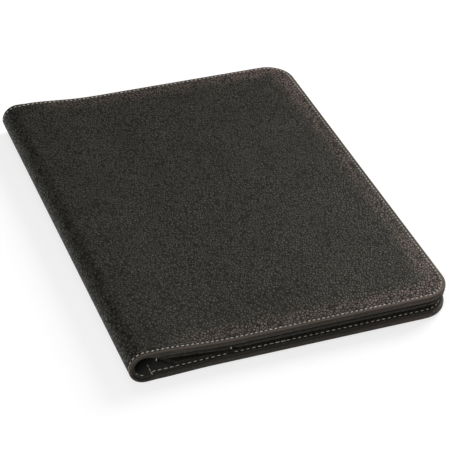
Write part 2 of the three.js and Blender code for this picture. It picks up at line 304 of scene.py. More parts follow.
def hem_level(across):
    gutter = SPINE_LEATHER + (GUTTER_HEM - SPINE_LEATHER) * ramp(across)
    return gutter + (HEM_DEPTH - GUTTER_HEM) * past_gutter(across)


def hem_face(across, along, inset):
    return hem_level(across) - round_over(inset, HEM_RADIUS) - INNER_GROOVE * groove(inset)


def hem_top(across, along, inset):
    full = LEATHER + CROWN * crown_fade(across) + (HEM_DEPTH - HEM - LEATHER - CROWN) * ramp(across)
    return np.minimum(full, hem_level(across) - HEM_THINNEST)


def lining_face(across):
    """Inner face of the lining."""
    spine_face = SPINE_LEATHER + LAYER_GAP + SPINE_LINING
    gutter = spine_face + (GUTTER_LINING - spine_face) * ramp(across)
    return gutter + (LINING_HIGH.z - GUTTER_LINING) * past_gutter(across)


def layer_gap(across):
    return PRESSED_GAP + (LAYER_GAP - PRESSED_GAP) * past_gutter(across)


def pocket_floor(across):
    return lining_face(across) + layer_gap(across)


def pocket_thickness(across):
    return POCKET_LEATHER * (PRESSED_SHARE + (1 - PRESSED_SHARE) * past_gutter(across))


def strip_floor(across):
    return pocket_floor(across) + pocket_thickness(across) + layer_gap(across)


# How much thicker a panel's turned border is


def no_roll(across):
    return 0 * across


def pocket_roll(across):
    return ROLL * rise(across, ROLL_START, ROLL_REACH)


def strip_roll(across):
    return STRIP_ROLL + 0 * across


# Outlines


def make_panel(start, end, low, high, low_radius=0.0, high_radius=0.0, open_start=False):
    return {"start": start, "end": end, "low": low, "high": high,
            "radii": (low_radius, high_radius), "open_start": open_start}


def drawn_in(panel, inset):
    """A panel's start, end, low and high edge, drawn in by an inset. An open start stays."""
    start = panel["start"] + (0 if panel["open_start"] else inset)
    return start, panel["end"] - inset, panel["low"] + inset, panel["high"] - inset


def ring(panel, inset, core, f, h):
    """The outline of a panel, drawn in by an inset, from its low start corner round its far side.
    core is the inset of its middle field, whose columns and rows lie at the shares f and h."""
    low_r, high_r = panel["radii"]
    start, end, low, high = drawn_in(panel, inset)
    x0, x1, y0, y1 = drawn_in(panel, core)
    xs, ys = x0 + (x1 - x0) * f, y0 + (y1 - y0) * h
    turn = np.linspace(0, math.pi / 2, ARC_STEPS + 1)
    parts = [(xs, np.full_like(xs, low))]
    for radius, y_edge, way, spin in ((low_r, low, 1, turn), (high_r, high, -1, turn[::-1])):
        r = max(radius - inset, 0)
        core_y = y0 if way > 0 else y1
        mid_x, mid_y = end - r, y_edge + way * r
        arc = mid_x + r * np.sin(spin), mid_y - way * r * np.cos(spin)
        lead_x, lead_y = (x1 + mid_x) / 2, (core_y + mid_y) / 2
        edge = ([lead_x], [y_edge]), arc, ([end], [lead_y])
        parts += edge if way > 0 else edge[::-1]
        if way > 0:
            parts.append((np.full_like(ys, end), ys))
    parts.append((xs[::-1], np.full_like(xs, high)))
    if not panel["open_start"]:
        parts.append((np.full(len(h), start), ys[::-1]))
    return np.concatenate([p[0] for p in parts]), np.concatenate([p[1] for p in parts])


def shares(length, step=CELL):
    return np.linspace(0, 1, max(2, int(round(length / step)) + 1))


# Meshes


class Builder:
    """Collects the points and faces of a piece, with where each point lies on the flat leather."""

    def __init__(self):
        self.points, self.flats, self.faces, self.count = [], [], [], 0

    def add(self, points, flats):
        shape = points.shape[:-1]
        first = self.count
        self.points.append(points.reshape(-1, 3))
        self.flats.append(flats.reshape(-1, 2))
        self.count += int(np.prod(shape))
        return np.arange(first, self.count).reshape(shape)

    def strip(self, a, b, closed=False):
        """Faces between two rows of points."""
        last = len(a) if closed else len(a) - 1
        for i in range(last):
            j = (i + 1) % len(a)
            self.faces.append((a[i], a[j], b[j], b[i]))

    def sheet(self, rows, closed=True):
        """Faces between each row of points and the next."""
        for a, b in zip(rows[:-1], rows[1:]):
            self.strip(a, b, closed)

    def cap(self, rows):
        """Faces across the first and the last row, which go out and come back."""
        half = len(rows[0]) // 2
        for row in (rows[0], rows[-1]):
            self.strip(row[:half], row[half:][::-1])

    def field(self, grid, gone=None):
        for i in range(grid.shape[0] - 1):
            for j in range(grid.shape[1] - 1):
                if gone is None or not gone[i, j]:
                    corners = grid[i, j], grid[i + 1, j], grid[i + 1, j + 1], grid[i, j + 1]
                    self.faces.append(corners)

    def mesh(self, name, crease=CREASE):
        mesh = bpy.data.meshes.new(name)
        faces = [tuple(int(i) for i in face) for face in self.faces]
        mesh.from_pydata(np.concatenate(self.points).tolist(), [], faces)
        flats = np.concatenate(self.flats)
        corners = np.zeros(len(mesh.loops), np.int32)
        mesh.loops.foreach_get("vertex_index", corners)
        uv = mesh.uv_layers.new(name="flat").data
        uv.foreach_set("uv", flats[corners].astype(np.float32).ravel())
        work = bmesh.new()
        work.from_mesh(mesh)
        bmesh.ops.remove_doubles(work, verts=work.verts, dist=MERGED)
        bmesh.ops.dissolve_degenerate(work, edges=work.edges, dist=DEGENERATE)
        bmesh.ops.recalc_face_normals(work, faces=work.faces)
        for face in work.faces:
            face.smooth = True
        work.to_mesh(mesh)
        work.free()
        mesh.set_sharp_from_angle(angle=math.radians(crease))
        return mesh


def add_object(data):
    thing = bpy.data.objects.new(data.name, data)
    bpy.context.scene.collection.objects.link(thing)
    return thing


def add_piece(mesh, material):
    piece = add_object(mesh)
    mesh.materials.append(MATERIALS[material])
    return piece


def two_faces(insets, near, far):
    """A section that goes out over one face and comes back over the other."""
    return [(inset, near) for inset in insets] + [(inset, far) for inset in insets[::-1]]


def walked(section):
    """How far in from the panel's edge each ring of a section lies once the leather is laid flat.
    It is negative on what is turned under."""
    middle = FORE_EDGE / 2
    inset = np.array([ring_inset for ring_inset, face in section])
    depth = np.array([float(face(middle, 0.0, ring_inset)) for ring_inset, face in section])
    return inset[0] - np.concatenate([[0], np.cumsum(np.hypot(np.diff(inset), np.diff(depth)))])


def loft(name, side, panel, section, f=None, h=None, warp=None, gone=None):
    """A closed piece whose edge has one section all round its panel. The section goes from the
    middle of its first face, round the edge, to the middle of its last, as pairs of an inset and a
    function for the depth."""
    core = section[0][0]
    x0, x1, y0, y1 = drawn_in(panel, core)
    f = shares(x1 - x0) if f is None else f
    h = shares(y1 - y0) if h is None else h
    build = Builder()

    def put(across, along, inset, depth, flat_across, flat_along):
        if warp:
            along = warp(across, along)
        spots = place(side, across, along, depth(across, along, inset))
        return build.add(spots, laid_flat(side, flat_across, flat_along))

    rings = []
    for (inset, depth), flat_inset in zip(section, walked(section)):
        across, along = ring(panel, inset, core, f, h)
        flat_across, flat_along = ring(panel, flat_inset, core, f, h)
        rings.append(put(across, along, inset, depth, flat_across, flat_along))
    build.sheet(rings, closed=not panel["open_start"])
    gx, gy = np.meshgrid(x0 + (x1 - x0) * f, y0 + (y1 - y0) * h, indexing="ij")
    ways = [gy - panel["low"], panel["high"] - gy, panel["end"] - gx]
    if not panel["open_start"]:
        ways.append(gx - panel["start"])
    inset = np.minimum.reduce(ways)
    grids = []
    for _, depth in (section[0], section[-1]):
        grids.append(put(gx, gy, inset, depth, gx, gy))
        build.field(grids[-1], gone)
    if gone is not None:
        line_holes(build, grids, gone)
    if panel["open_start"]:
        build.strip(grids[0][0], grids[1][0])
        for end in (0, -1):
            build.faces.append(tuple(r[end] for r in rings))
    return build.mesh(name)


def line_holes(build, grids, gone):
    """Walls round the cells that are cut out of a piece's two faces."""
    sides = ((-1, 0, (0, 0), (0, 1)), (1, 0, (1, 0), (1, 1)),
             (0, -1, (0, 0), (1, 0)), (0, 1, (0, 1), (1, 1)))
    for i, j in zip(*np.nonzero(gone)):
        for di, dj, a, b in sides:
            if not gone[i + di, j + dj]:
                p, q = (i + a[0], j + a[1]), (i + b[0], j + b[1])
                build.faces.append((grids[0][p], grids[0][q], grids[1][q], grids[1][p]))


def band(name, start, profile):
    """Half of the spine: a closed profile of distances along and depths, swept round."""
    build = Builder()
    along, depth = np.array(profile).T
    half = len(profile) // 2
    steps = np.hypot(np.diff(along), np.diff(depth))
    run = np.concatenate([[0], np.cumsum(steps)])
    flat_along = run - run[half - 1] / 2
    flat_along[half + half // 2:] -= run[-1] + 2 * (depth[half] - depth[half - 1])
    rows = []
    for across in np.linspace(start, start + QUARTER_TURN, TURN_STEPS + 1):
        spots = place("front", across, along, depth)
        rows.append(build.add(spots, laid_flat("front", across, flat_along)))
    build.sheet(rows)
    build.cap(rows)
    return build.mesh(name)


# Seams


def seam_path(panel, inset, pitch):
    """Points a pitch apart along a panel's outline: distances across and along, and its way."""
    r = panel["radii"][0] - inset
    start, end, low, high = drawn_in(panel, inset)
    run = end - r - start
    climb = high - low - 2 * r
    turn = r * math.pi / 2
    total = 2 * run + climb + 2 * turn
    count = int(total / pitch)
    out = []
    for i in range(count):
        s = (i + 0.5) * total / count
        if s < run:
            out.append((start + s, low, 1, 0))
        elif s < run + turn:
            a = (s - run) / r
            x, y = end - r + r * math.sin(a), low + r - r * math.cos(a)
            out.append((x, y, math.cos(a), math.sin(a)))
        elif s < run + turn + climb:
            out.append((end, low + r + s - run - turn, 0, 1))
        elif s < run + 2 * turn + climb:
            a = (s - run - turn - climb) / r
            x, y = end - r + r * math.cos(a), high - r + r * math.sin(a)
            out.append((x, y, -math.sin(a), math.cos(a)))
        else:
            out.append((end - r - (s - run - 2 * turn - climb), high, -1, 0))
    return out


def straight_path(x0, y0, x1, y1, pitch):
    length = math.hypot(x1 - x0, y1 - y0)
    count = max(1, int(round(length / pitch)))
    dx, dy = (x1 - x0) / length, (y1 - y0) / length
    return [(x0 + dx * (i + 0.5) * length / count, y0 + dy * (i + 0.5) * length / count, dx, dy)
            for i in range(count)]


def add_thread(build, middle, ahead, out, half, thick):
    """One stitch, which dips into the leather at both ends."""
    aside = np.cross(out, ahead)
    around = np.linspace(0, 2 * math.pi, THREAD_STEPS + 1)[:-1]
    rows = []
    for t in np.linspace(-1, 1, THREAD_STEPS + 1):
        bent = abs(t) ** 3
        size = thick * (1 - TAPER * bent)
        spot = middle + ahead * half * t + out * thick * (STAND - DIP * bent)
        circle = spot + size * (np.outer(np.cos(around), out) + np.outer(np.sin(around), aside))
        rows.append(build.add(circle, circle[:, :2]))
    build.sheet(rows)
    build.faces.append(tuple(rows[0]))
    build.faces.append(tuple(rows[-1]))


def stitches(name, side, path, surface, seed, length=STITCH_LENGTH, thread=THREAD,
             slant=STITCH_SLANT, up=-1, tacks=()):
    """Threads lying on a surface along a path. up is the way that the surface faces: -1 for out of
    the folio. Tacks stand over a panel's edge, between two depths."""
    rng = np.random.default_rng(seed)
    build = Builder()
    tiny = 0.2 * MM
    for across, along, low, high in tacks:
        ends = place(side, across, along, np.array([low, high]))
        out = np.array([0, math.copysign(1, along), 0])
        half = (high - low) / 2 + thread
        add_thread(build, ends.mean(0), unit(ends[1] - ends[0]), out, half, thread)
    for across, along, dx, dy in path:
        near = (across, along), (across + tiny, along), (across, along + tiny)
        spots = place(side, *np.array([(x, y, surface(x, y)) for x, y in near]).T)
        e_across, e_along = unit(spots[1] - spots[0]), unit(spots[2] - spots[0])
        lean = slant + rng.normal(0, LEAN_SPREAD)
        c, s = math.cos(lean), math.sin(lean)
        ahead = unit(e_across * (dx * c - dy * s) + e_along * (dx * s + dy * c))
        out = unit(np.cross(e_across, e_along))
        inward = place(side, across, along, surface(across, along) + tiny) - spots[0]
        if (out @ inward) * up < 0:
            out = -out
        half = length / 2 * (1 + rng.normal(0, LENGTH_SPREAD))
        add_thread(build, spots[0], ahead, out, half, thread * (1 + rng.normal(0, THREAD_SPREAD)))
    return build.mesh(name, crease=180)


# Materials. The scales of their patterns are per millimetre.


class Shader:
    """A node material, with short ways to add and join nodes."""

    def __init__(self, name):
        self.material = bpy.data.materials.new(name)
        self.material.use_nodes = True
        self.tree = self.material.node_tree
        self.surface = self.tree.nodes["Principled BSDF"]

    def node(self, kind, inputs=(), **settings):
        made = self.tree.nodes.new(kind)
        for key, value in settings.items():
            setattr(made, key, value)
        for key, value in dict(inputs).items():
            self.put(made.inputs[key], value)
        return made

    def put(self, socket, value):
        if isinstance(value, bpy.types.NodeSocket):
            self.tree.links.new(value, socket)
        else:
            socket.default_value = value

    def math(self, operation, a, b=0.0, c=None, clamp=False):
        ends = {0: a, 1: b} if c is None else {0: a, 1: b, 2: c}
        return self.node("ShaderNodeMath", ends, operation=operation, use_clamp=clamp).outputs[0]

    def vector(self, operation, inputs):
        return self.node("ShaderNodeVectorMath", inputs, operation=operation).outputs[0]

    def spread(self, value, low, high, to_low=0.0, to_high=1.0, kind="SMOOTHSTEP"):
        ends = {"Value": value, "From Min": low, "From Max": high,
                "To Min": to_low, "To Max": to_high}
        return self.node("ShaderNodeMapRange", ends, interpolation_type=kind).outputs[0]

    def mix(self, share, a, b):
        made = self.node("ShaderNodeMix", data_type="RGBA")
        for socket, value in ((0, share), (6, a), (7, b)):
            self.put(made.inputs[socket], value)
        return made.outputs[2]

    def noise(self, vector, scale, detail=2.0, rough=0.5):
        ends = {"Vector": vector, "Scale": scale, "Detail": detail, "Roughness": rough}
        return self.node("ShaderNodeTexNoise", ends).outputs

    def cells(self, vector, scale, feature="DISTANCE_TO_EDGE"):
        ends = {"Vector": vector, "Scale": scale}
        return self.node("ShaderNodeTexVoronoi", ends, feature=feature).outputs

    def wave(self, vector, scale, distortion, direction, detail=2.0):
        ends = {"Vector": vector, "Scale": scale, "Distortion": distortion, "Detail": detail}
        return self.node("ShaderNodeTexWave", ends, bands_direction=direction).outputs["Fac"]

    def attribute(self, name):
        return self.node("ShaderNodeAttribute", attribute_name=name).outputs["Fac"]

    def parts(self, vector):
        return self.node("ShaderNodeSeparateXYZ", {0: vector}).outputs

    def flat(self):
        """Where a point lies on the flat leather, in millimetres."""
        uv = self.node("ShaderNodeUVMap", uv_map="flat").outputs[0]
        ends = {"Vector": uv, "Scale": (1 / MM, 1 / MM, 1.0)}
        return self.node("ShaderNodeMapping", ends).outputs[0]

    def solid(self):
        """Where a point lies on the closed folio, in millimetres."""
        spot = self.node("ShaderNodeTexCoord").outputs["Object"]
        return self.vector("SCALE", {0: spot, "Scale": 1 / MM})

    def bump(self, height, distance):
        made = self.node("ShaderNodeBump", {"Height": height, "Distance": distance})
        self.put(self.surface.inputs["Normal"], made.outputs[0])

    def finish(self, **sockets):
        for name, value in sockets.items():
            self.put(self.surface.inputs[name.replace("_", " ")], value)
        return self.material


# Grains that wander, are drawn out at a slant, and have finer grains and pores on them
DRIFT_SCALE, DRIFT = 0.13, 2.2
STRETCH, STRETCH_TURN = (1.08, 0.92, 1.0), (0.0, 0.0, 0.35)
PEBBLE_SCALE, PEBBLE_SIDE = 0.43, (0.02, 0.27)
FINE_SCALE, FINE_SIDE, FINE_SHARE = 1.25, (0.0, 0.35), 0.16
EACH_HEIGHT, EACH_TONE = 0.3, 0.75
PORE_SCALE, PORE_HEIGHT = 3.2, 0.1
UNEVEN_SCALE, UNEVEN_TONE = 0.035, (0.8, 1.12)
PATCH_SCALE, PATCH_EDGE = 0.11, (0.2, 0.55)
DRAWN_GRAIN, DRAWN_TONE = 0.25, 0.45
CREASE_ROUGHNESS = 0.35
WARM = (1.0, 0.9, 0.76, 1)


def leather(name, light, dark, grain=1.0, gloss=0.36, relief=0.22 * MM, wear_and_painted_sheen=None):
    """Pebbled leather: uneven, slightly drawn-out grains with dark creases between them."""
    s = Shader(name)
    flat = s.flat()
    drift = s.noise(flat, DRIFT_SCALE * grain)["Color"]
    drift = s.vector("SUBTRACT", {0: drift, 1: (0.5, 0.5, 0.5)})
    drift = s.vector("SCALE", {0: drift, "Scale": DRIFT / grain})
    moved = s.vector("ADD", {0: flat, 1: drift})
    slanted = s.node("ShaderNodeMapping", {"Vector": moved, "Scale": STRETCH,
                                           "Rotation": STRETCH_TURN}).outputs[0]
    pebble = s.spread(s.cells(slanted, PEBBLE_SCALE * grain)["Distance"], *PEBBLE_SIDE)
    fine = s.spread(s.cells(moved, FINE_SCALE * grain)["Distance"], *FINE_SIDE)
    colours = s.cells(slanted, PEBBLE_SCALE * grain, "F1")["Color"]
    each = s.node("ShaderNodeSeparateColor", {0: colours}).outputs[0]
    pores = s.noise(flat, PORE_SCALE)["Fac"]
    body = s.math("MULTIPLY_ADD", pebble, 1 - FINE_SHARE, s.math("MULTIPLY", fine, FINE_SHARE))
    height = s.math("ADD", body, s.math("MULTIPLY", each, EACH_HEIGHT))
    height = s.math("ADD", height, s.math("MULTIPLY", pores, PORE_HEIGHT))
    tone = s.math("MULTIPLY", body, s.spread(each, 0.0, 1.0, EACH_TONE, 1.0, "LINEAR"))
    if wear_and_painted_sheen:
        drawn = s.attribute("drawn")
        kept = s.spread(drawn, 0.0, 1.0, 1.0, DRAWN_GRAIN, "LINEAR")
        height = s.math("MULTIPLY", height, kept)
        tone = s.math("MULTIPLY_ADD", tone, kept, s.math("MULTIPLY", drawn, DRAWN_TONE))
    s.bump(height, relief)
    uneven = s.noise(flat, UNEVEN_SCALE, 3.0)["Fac"]
    tone = s.math("MULTIPLY", tone, s.spread(uneven, 0.3, 0.7, *UNEVEN_TONE))
    colour = s.mix(s.math("MULTIPLY", tone, 1.0, clamp=True), dark, light)
    rough = s.spread(body, 0.0, 1.0, gloss + CREASE_ROUGHNESS, gloss, "LINEAR")
    # Wear with painted sheen on the crown's shoulder and corners, and a painted highlight along the
    # rim, mixed in as a lighter colour: patchy on the shoulder, unbroken where the edge is drawn
    # smooth.
    if wear_and_painted_sheen:
        patch = s.spread(s.noise(flat, PATCH_SCALE, 3.0)["Fac"], *PATCH_EDGE)
        patch = s.math("MULTIPLY", patch, s.spread(body, 0.1, 1.0))
        wear_and_sheen_share = s.math("MULTIPLY", s.attribute("wear_and_painted_sheen"), s.math("MAXIMUM", patch, drawn))
        colour = s.mix(wear_and_sheen_share, colour, wear_and_painted_sheen)
    return s.finish(Base_Color=colour, Roughness=rough, Specular_IOR_Level=0.25, Specular_Tint=WARM)


def twill(name, light, dark):
    """Fine woven lining, with slanting ribs."""
    s = Shader(name)
    flat = s.flat()
    ribs = s.wave(flat, 0.42, 0.6, "DIAGONAL", 1.0)
    threads = s.wave(flat, 0.9, 0.4, "Y")
    cloth = s.math("MULTIPLY_ADD", ribs, 0.65, s.math("MULTIPLY", threads, 0.35))
    fuzz = s.noise(flat, 2.5, 3.0)["Fac"]
    s.bump(s.math("ADD", cloth, s.math("MULTIPLY", fuzz, 0.3)), 0.12 * MM)
    tone = s.math("MULTIPLY", cloth, s.spread(s.noise(flat, 0.05)["Fac"], 0.3, 0.7, 0.75, 1.1))
    return s.finish(Base_Color=s.mix(tone, dark, light), Roughness=0.82, Sheen_Weight=0.15)


def cotton_thread(name):
    """Cream thread in two shades, darker between its plies."""
    s = Shader(name)
    spot = s.solid()
    ply = s.wave(spot, 0.8, 1.5, "DIAGONAL", 1.0)
    s.bump(ply, 0.08 * MM)
    patch = s.spread(s.noise(spot, 0.12)["Fac"], 0.3, 0.7)
    cream = s.mix(patch, (0.55, 0.5, 0.41, 1), (0.8, 0.76, 0.66, 1))
    colour = s.mix(s.math("MULTIPLY", ply, 0.5), cream, (0.42, 0.37, 0.29, 1))
    return s.finish(Base_Color=colour, Roughness=0.6)


def elastic(name):
    """Black webbing with a fine cross weave."""
    s = Shader(name)
    spot = s.solid()
    weave = s.wave(spot, 0.5, 0.2, "Y")
    knit = s.noise(spot, 2.2)["Fac"]
    s.bump(s.math("ADD", weave, s.math("MULTIPLY", knit, 0.4)), 0.2 * MM)
    colour = s.mix(weave, (0.008, 0.008, 0.009, 1), (0.03, 0.03, 0.032, 1))
    return s.finish(Base_Color=colour, Roughness=0.85)


def pulp(name, light, dark, scale=0.35, relief=0.04 * MM, rough=0.85):
    """Card, board, foam or tape: a fine fleck over slow mottling."""
    s = Shader(name)
    spot = s.solid()
    fleck = s.noise(spot, scale * 4, 4.0, 0.7)["Fac"]
    mottle = s.noise(spot, scale * 0.2, 3.0)["Fac"]
    s.bump(fleck, relief)
    tone = s.math("ADD", s.spread(fleck, 0.3, 0.7, 0.0, 0.6), s.spread(mottle, 0.3, 0.7, 0.0, 0.4))
    return s.finish(Base_Color=s.mix(tone, dark, light), Roughness=rough)


# In millimetres, but a rule's half width is a share of the pitch
RULE_PITCH, RULE_HALF = 8.7, 0.03
MARGIN, MARGIN_HALF = 32.0, 0.25
HEAD_SPACE = 40


def ruled_paper(name):
    """White sheets with pale rules and a margin on the top one, and their edges at the sides."""
    s = Shader(name)
    spot = s.parts(s.solid())
    facing = s.parts(s.node("ShaderNodeNewGeometry").outputs["Normal"])[2]
    top = s.spread(facing, 0.9, 0.95)
    row = s.math("FRACT", s.math("DIVIDE", spot[1], RULE_PITCH))
    rule = s.math("COMPARE", row, 0.5, RULE_HALF)
    below_head = s.math("LESS_THAN", spot[1], SHEETS_HIGH.y / MM - HEAD_SPACE)
    margin = s.math("COMPARE", spot[0], SHEETS_LOW.x / MM + MARGIN, MARGIN_HALF)
    fibre = s.noise(s.solid(), 1.5, 3.0)["Fac"]
    white = s.mix(fibre, (0.86, 0.84, 0.77, 1), (0.92, 0.91, 0.86, 1))
    lines = s.math("MULTIPLY", s.math("MULTIPLY", rule, below_head), top)
    colour = s.mix(lines, white, (0.42, 0.55, 0.72, 1))
    colour = s.mix(s.math("MULTIPLY", margin, top), colour, (0.75, 0.4, 0.42, 1))
    s.bump(fibre, 0.02 * MM)
    return s.finish(Base_Color=colour, Roughness=0.8)


MATERIALS = {
    # The cover leather's lighter colour stands for wear and painted sheen on the crown's shoulder,
    # and a painted highlight on the rim.
    "leather": leather("pebbled_leather", (0.064, 0.063, 0.052, 1), (0.001, 0.001, 0.001, 1),
                       wear_and_painted_sheen=(0.14, 0.1, 0.088, 1)),
    "pocket": leather("pocket_leather", (0.055, 0.055, 0.046, 1), (0.01, 0.01, 0.009, 1),
                      grain=1.7, gloss=0.5, relief=0.1 * MM),
    "lining": twill("twill_lining", (0.03, 0.028, 0.024, 1), (0.01, 0.009, 0.008, 1)),
    "thread": cotton_thread("cream_thread"),
    "elastic": elastic("ribbed_elastic"),
    "foam": pulp("grey_foam", (0.42, 0.42, 0.4, 1), (0.25, 0.25, 0.24, 1), 0.6, 0.2 * MM, 0.95),
    "board": pulp("grey_board", (0.42, 0.37, 0.3, 1), (0.28, 0.24, 0.19, 1)),
    "card": pulp("kraft_card", (0.46, 0.38, 0.27, 1), (0.36, 0.29, 0.2, 1)),
    "paper": ruled_paper("ruled_paper"),
    "tape": pulp("cloth_tape", (0.07, 0.07, 0.075, 1), (0.03, 0.03, 0.032, 1), 0.5, 0.06 * MM,
                 0.6),
}

# Covers. The rings round an edge lie close together on the rim and over the sewn groove.
COVER = make_panel(0, FORE_EDGE, -HALF_HEIGHT, HALF_HEIGHT, CORNER, CORNER, True)
INNER_END = LINING_HIGH.x - SPINE_X
INNER_HALF = LINING_HIGH.y
INNER_CORNER = CORNER - RECESS
INNER = make_panel(0, INNER_END, -INNER_HALF, INNER_HALF, INNER_CORNER, INNER_CORNER, True)
FRONT_HALF = INNER_HALF + OVERHANG
ROWS = shares(2 * (HALF_HEIGHT - CROWN_WIDTH))
EDGE_INSETS = in_mm(0, 0.03, 0.12, 0.3, 0.55, 0.85, 1.2, 1.6, 2.1, 2.6, 3.1, 3.6, 4.1, 4.6)
OUTER_INSETS = in_mm(22, 19.5, 17, 14.5, 12, 10, 8, 6.5, 5.3) + EDGE_INSETS[::-1]
HEM_INSETS = EDGE_INSETS + in_mm(6)


def mark_edges(piece):
    """The crown's shoulder inside the stitches has wear and painted sheen, most at the corners;
    the rim has a painted highlight. Past the stitches the turned leather is drawn smooth."""
    mesh = piece.data
    co = np.zeros(len(mesh.vertices) * 3)
    mesh.vertices.foreach_get("co", co)
    x, y, z = co.reshape(-1, 3).T
    across = x - SPINE_X
    dx, dy = across - (FORE_EDGE - CORNER), np.abs(y) - (HALF_HEIGHT - CORNER)
    inset = CORNER - np.where((dx > 0) & (dy > 0), np.hypot(dx, dy), np.maximum(dx, dy))
    near_corner = bell(np.hypot(dx, dy), CORNER_SHEEN_REACH)
    shoulder = bell(inset - SHOULDER, SHOULDER_WIDTH) * crown_fade(across)
    # More wear and more painted sheen towards the corners.
    shoulder *= 1 + CORNER_WEAR_AND_SHEEN * near_corner
    below = np.abs(z - np.where(z > RADIUS, front_height(across), 0))
    depth = np.where(across < 0, RADIUS - np.hypot(across, z - RADIUS), below)
    # A painted highlight line along the rounded rim.
    rim = PAINTED_RIM_HIGHLIGHT * bell(inset - PAINTED_HIGHLIGHT_INSET, PAINTED_HIGHLIGHT_WIDTH) * (depth < RIM_RADIUS)
    drawn = 1 - rise(inset, DRAWN, DRAWN_REACH)
    # One attribute carries the wear and painted sheen on the shoulder and the painted rim
    # highlight.
    for name, value in (("wear_and_painted_sheen", np.maximum(shoulder, rim)), ("drawn", drawn)):
        attribute = mesh.attributes.new(name, "FLOAT", "POINT")
        attribute.data.foreach_set("value", value.astype(np.float32))


def cover_skin(side):
    """The leather of a cover, turned round its edge and hemmed inside."""
    outer = outer_face(side)
    under = lambda across, along, inset: outer(across, along, inset) + LEATHER
    section = [(inset, outer) for inset in OUTER_INSETS]
    section += [(inset, hem_face) for inset in HEM_INSETS]
    section += [(HEM_WIDTH, hem_face), (HEM_WIDTH, hem_top), (2 * LEATHER, hem_top)]
    section += [(inset, under) for inset in (2 * LEATHER, 6 * MM, 12 * MM, CROWN_WIDTH)]
    mesh = loft(side + "_cover_skin", side, COVER, section, h=ROWS)
    piece = add_piece(mesh, "leather")
    mark_edges(piece)
    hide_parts(side + "_cover_leather")
    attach(piece, side + "_cover")


def cover_foam(side):
    """Foam that fills the crown between the skin and the board."""
    edge = HALF_HEIGHT - FOAM_HIGH.y
    radius = CORNER - edge
    start = BOARD_START + LAYER_GAP
    panel = make_panel(start, FORE_EDGE - edge, -FOAM_HIGH.y, FOAM_HIGH.y, radius, radius, True)
    outer = outer_face(side)
    top = lambda across, along, inset: outer(across, along, inset + edge) + LEATHER + LAYER_GAP
    flat = lambda across, along, inset: FOAM_HIGH.z + 0 * across
    insets = in_mm(18, 14, 10, 6, 3, 1, 0)
    section = [(inset, top) for inset in insets] + [(inset, flat) for inset in (0, insets[0])]
    piece = add_piece(loft(side + "_cover_foam", side, panel, section), "foam")
    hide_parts(side + "_padding")
    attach(piece, side + "_cover")


def inner_lining(side):
    """The lining of a cover, which is thicker where it leaves the spine."""

    def near(across, along, inset):
        under = lining_face(across) - LINING - LINING_SWELL * (1 - ramp(across))
        return np.maximum(under, hem_level(across) + LINING_CLEARANCE)

    far = lambda across, along, inset: lining_face(across)
    section = two_faces([INNER_CORE] + in_mm(12, 6, 3, 1, 0.2, 0), near, far)
    piece = add_piece(loft(side + "_inner_lining", side, INNER, section), "lining")
    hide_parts(side + "_lining")
    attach(piece, side + "_cover")


def raised(floor, level, rolled):
    """The two faces of a pocket panel: sewn down round its edge and raised in the middle."""

    def near(across, along, inset):
        low = floor(across)
        return low + (level - low) * rise(inset, SEAM_BAND, POCKET_RAMP)

    def far(across, along, inset):
        border = pocket_thickness(across) + rolled(across)
        thick = border + (POCKET_LEATHER - border) * rise(inset, SEAM_BAND, POCKET_RAMP)
        rounded = round_over(inset, POCKET_ROUND + ROLL_ROUND * rolled(across))
        return near(across, along, inset) + thick - rounded

    return near, far


def pocket_panel(name, side, node, panel, faces, core=INNER_CORE, **cut):
    brow = SEAM_BAND + POCKET_RAMP
    insets = [core, (core + brow) / 2, brow, brow - POCKET_RAMP / 3, brow - POCKET_RAMP * 2 / 3]
    insets += [SEAM_BAND] + in_mm(1.5, 0.7, 0.3, 0.1, 0)
    mesh = loft(name, side, panel, two_faces(insets, *faces), **cut)
    piece = add_piece(mesh, "pocket")
    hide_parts(node)
    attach(piece, side + "_cover")


def pad_pocket():
    """Holds the pad's backing card. Its edge towards the head is open, with a thumb cut."""
    top = POCKET_HIGH.y
    middle = (POCKET_START + INNER_END) / 2
    notch = math.sqrt(THUMB_RADIUS**2 - (THUMB_RADIUS - THUMB_DEPTH) ** 2)

    def warp(across, along):
        off = np.clip(np.abs(across - middle), 0, notch)
        cut = np.sqrt(THUMB_RADIUS**2 - off**2) - (THUMB_RADIUS - THUMB_DEPTH)
        return along - cut * rise(along, top - THUMB_REACH, THUMB_REACH)

    panel = make_panel(PAD_POCKET_START, INNER_END, -INNER_HALF, top, INNER_CORNER, 0)
    left, right = PAD_POCKET_START + INNER_CORNER, INNER_END - INNER_CORNER
    marks = middle + notch * np.cos(np.linspace(0, math.pi, THUMB_STEPS))
    f = np.concatenate([shares(1, POCKET_CELL), (marks - left) / (right - left)])
    pocket_panel("pad_pocket_panel", "back", "pad_pocket", panel,
                 raised(pocket_floor, POCKET_LEVEL, no_roll), warp=warp, f=np.unique(f.round(6)))


def document_pocket():
    """The front cover's large pocket, with a rolled border."""
    end, radius = INNER_END + OVERHANG, INNER_CORNER + OVERHANG
    panel = make_panel(POCKET_START, end, -FRONT_HALF, FRONT_HALF, radius, radius, True)
    pocket_panel("document_pocket_panel", "front", "document_pocket", panel,
                 raised(pocket_floor, POCKET_LEVEL, pocket_roll))


